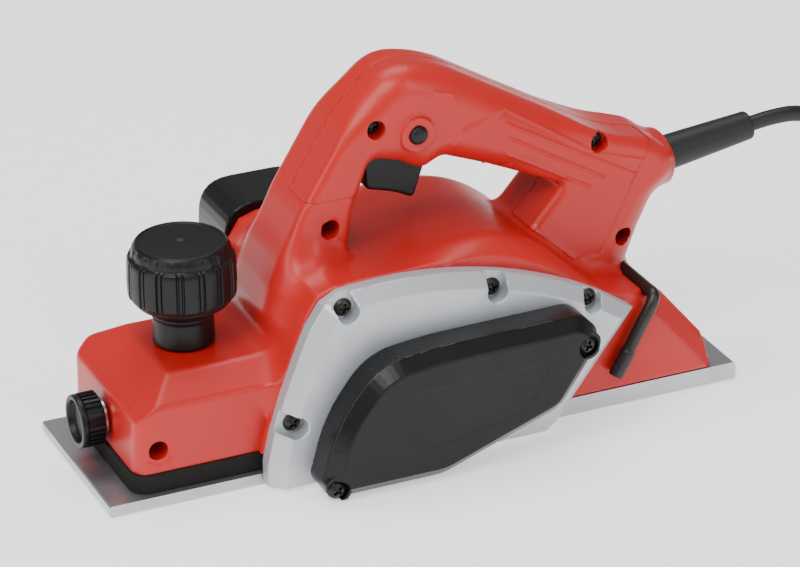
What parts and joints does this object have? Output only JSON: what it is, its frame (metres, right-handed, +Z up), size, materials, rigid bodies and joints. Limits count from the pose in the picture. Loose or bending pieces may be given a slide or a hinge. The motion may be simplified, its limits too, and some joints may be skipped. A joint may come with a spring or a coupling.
{
  "type": "handheld electric planer",
  "caption": "Handheld electric planer: red plastic body with a loop handle over a flat metal sole, belt-driven cutter drum, side belt cover, front depth knob, side chip chute and mains cord.",
  "frame": {"origin": "centre of the rear sole's flat face, on the surface the tool stands on", "axes": "+X along the sole to the rear, towards the cord; -Y to the belt side; +Z up"},
  "size_m": [0.4843, 0.1588, 0.1616],
  "materials": {
    "red_housing": "glossy red moulded plastic",
    "black_cover": "semi-gloss black moulded plastic",
    "black_plastic": "matte black moulded plastic",
    "cast_aluminium": "silver painted die casting",
    "base_aluminium": "machined cast plate",
    "steel": "turned and ground steel",
    "blade_steel": "ground blade",
    "black_screw": "blackened steel",
    "rubber": "matte black rubber",
    "cord_rubber": "matte black cord jacket",
    "seal_foam": "dark grey sealing strip",
    "brass": "turned brass",
    "copper": "enamelled copper winding",
    "laminations": "stacked laminations",
    "carbon": "pressed carbon"
  },
  "bodies": {
    "housing": {"main_housing": "red_housing", "handle_cover": "red_housing", "side_frame": "cast_aluminium", "rear_base": "base_aluminium", "nose_seal": "seal_foam", "belt_cover": "black_cover", "chip_chute": "black_cover", "chip_deflector": "black_plastic", "drum_bearings": "steel", "drive_belt": "rubber", "motor_bearings": "steel", "motor_field": "laminations", "field_coils": "copper", "brush_holders": "brass", "carbon_brushes": "carbon", "depth_nut": "brass", "depth_spring": "steel", "clamp_nut": "brass", "trigger_pin": "steel", "switch_body": "black_plastic", "lock_spring": "steel", "cord_guard": "rubber", "cord_clamp": "black_plastic", "clamp_screws": "steel", "frame_screws": "black_screw", "cover_screws": "black_screw", "handle_screws": "black_screw", "housing_screws": "black_screw", "base_screws": "steel", "chute_screws": "steel", "power_cord": "cord_rubber", "cord_coil": "cord_rubber", "coil_tie": "black_plastic", "plug_body": "black_plastic", "plug_pins": "steel"},
    "front_base": {"front_base": "base_aluminium"},
    "depth_knob": {"depth_knob": "black_plastic", "depth_screw": "steel", "screw_clip": "steel"},
    "drum": {"cutter_drum": "base_aluminium", "drum_shaft": "steel", "cutter_blades": "blade_steel", "blade_plates": "steel", "blade_bolts": "black_screw", "drum_pulley": "steel", "pulley_nut": "black_screw"},
    "armature": {"armature_shaft": "steel", "armature_core": "laminations", "commutator": "copper", "cooling_fan": "black_plastic", "motor_pulley": "steel"},
    "trigger": {"trigger": "black_plastic"},
    "lock_button": {"lock_button": "black_plastic"},
    "clamp_washer": {"clamp_washer": "steel"},
    "clamp_knob": {"clamp_knob": "black_plastic"},
    "wrench": {"blade_wrench": "black_screw"}
  },
  "joints": [
    {"name": "front_base_slide", "type": "slide", "parent": "housing", "child": "front_base", "axis": [0, 0, 1], "range_m": [0, 0.001], "deforming": ["nose_seal", "depth_spring"]},
    {"name": "depth_knob_turn", "type": "hinge", "parent": "front_base", "child": "depth_knob", "pos_m": [-0.156, 0, 0.06], "axis": [0, 0, 1], "range_deg": [0, 288]},
    {"name": "drum_spin", "type": "hinge", "parent": "housing", "child": "drum", "pos_m": [-0.1, 0, 0.022], "axis": [0, 1, 0], "continuous": true},
    {"name": "armature_spin", "type": "hinge", "parent": "housing", "child": "armature", "pos_m": [-0.038, 0, 0.041], "axis": [0, 1, 0], "continuous": true},
    {"name": "trigger_pull", "type": "hinge", "parent": "housing", "child": "trigger", "pos_m": [-0.072, 0, 0.127], "axis": [0, -1, 0], "range_deg": [0, 9], "stiffness_Nm_per_rad": 1.5, "springref_deg": -5.73},
    {"name": "lock_button_push", "type": "slide", "parent": "housing", "child": "lock_button", "axis": [0, 1, 0], "range_m": [0, 0.003], "stiffness_N_per_m": 400, "springref_m": -0.002, "deforming": ["lock_spring"]},
    {"name": "clamp_washer_slide", "type": "slide", "parent": "housing", "child": "clamp_washer", "axis": [-1, 0, 0], "range_m": [0, 0.005]},
    {"name": "clamp_knob_turn", "type": "hinge", "parent": "clamp_washer", "child": "clamp_knob", "pos_m": [-0.2, 0, 0.0245], "axis": [-1, 0, 0], "range_deg": [0, 1440]},
    {"name": "wrench_pull", "type": "slide", "parent": "housing", "child": "wrench", "axis": [0, -1, 0], "range_m": [0, 0.028]}
  ],
  "couplings": [
    {"joint": "depth_knob_turn", "follows": "front_base_slide", "rad_per_m": 5026.5},
    {"joint": "armature_spin", "follows": "drum_spin", "ratio": 1.5},
    {"joint": "clamp_knob_turn", "follows": "clamp_washer_slide", "rad_per_m": 5026.5}
  ]
}
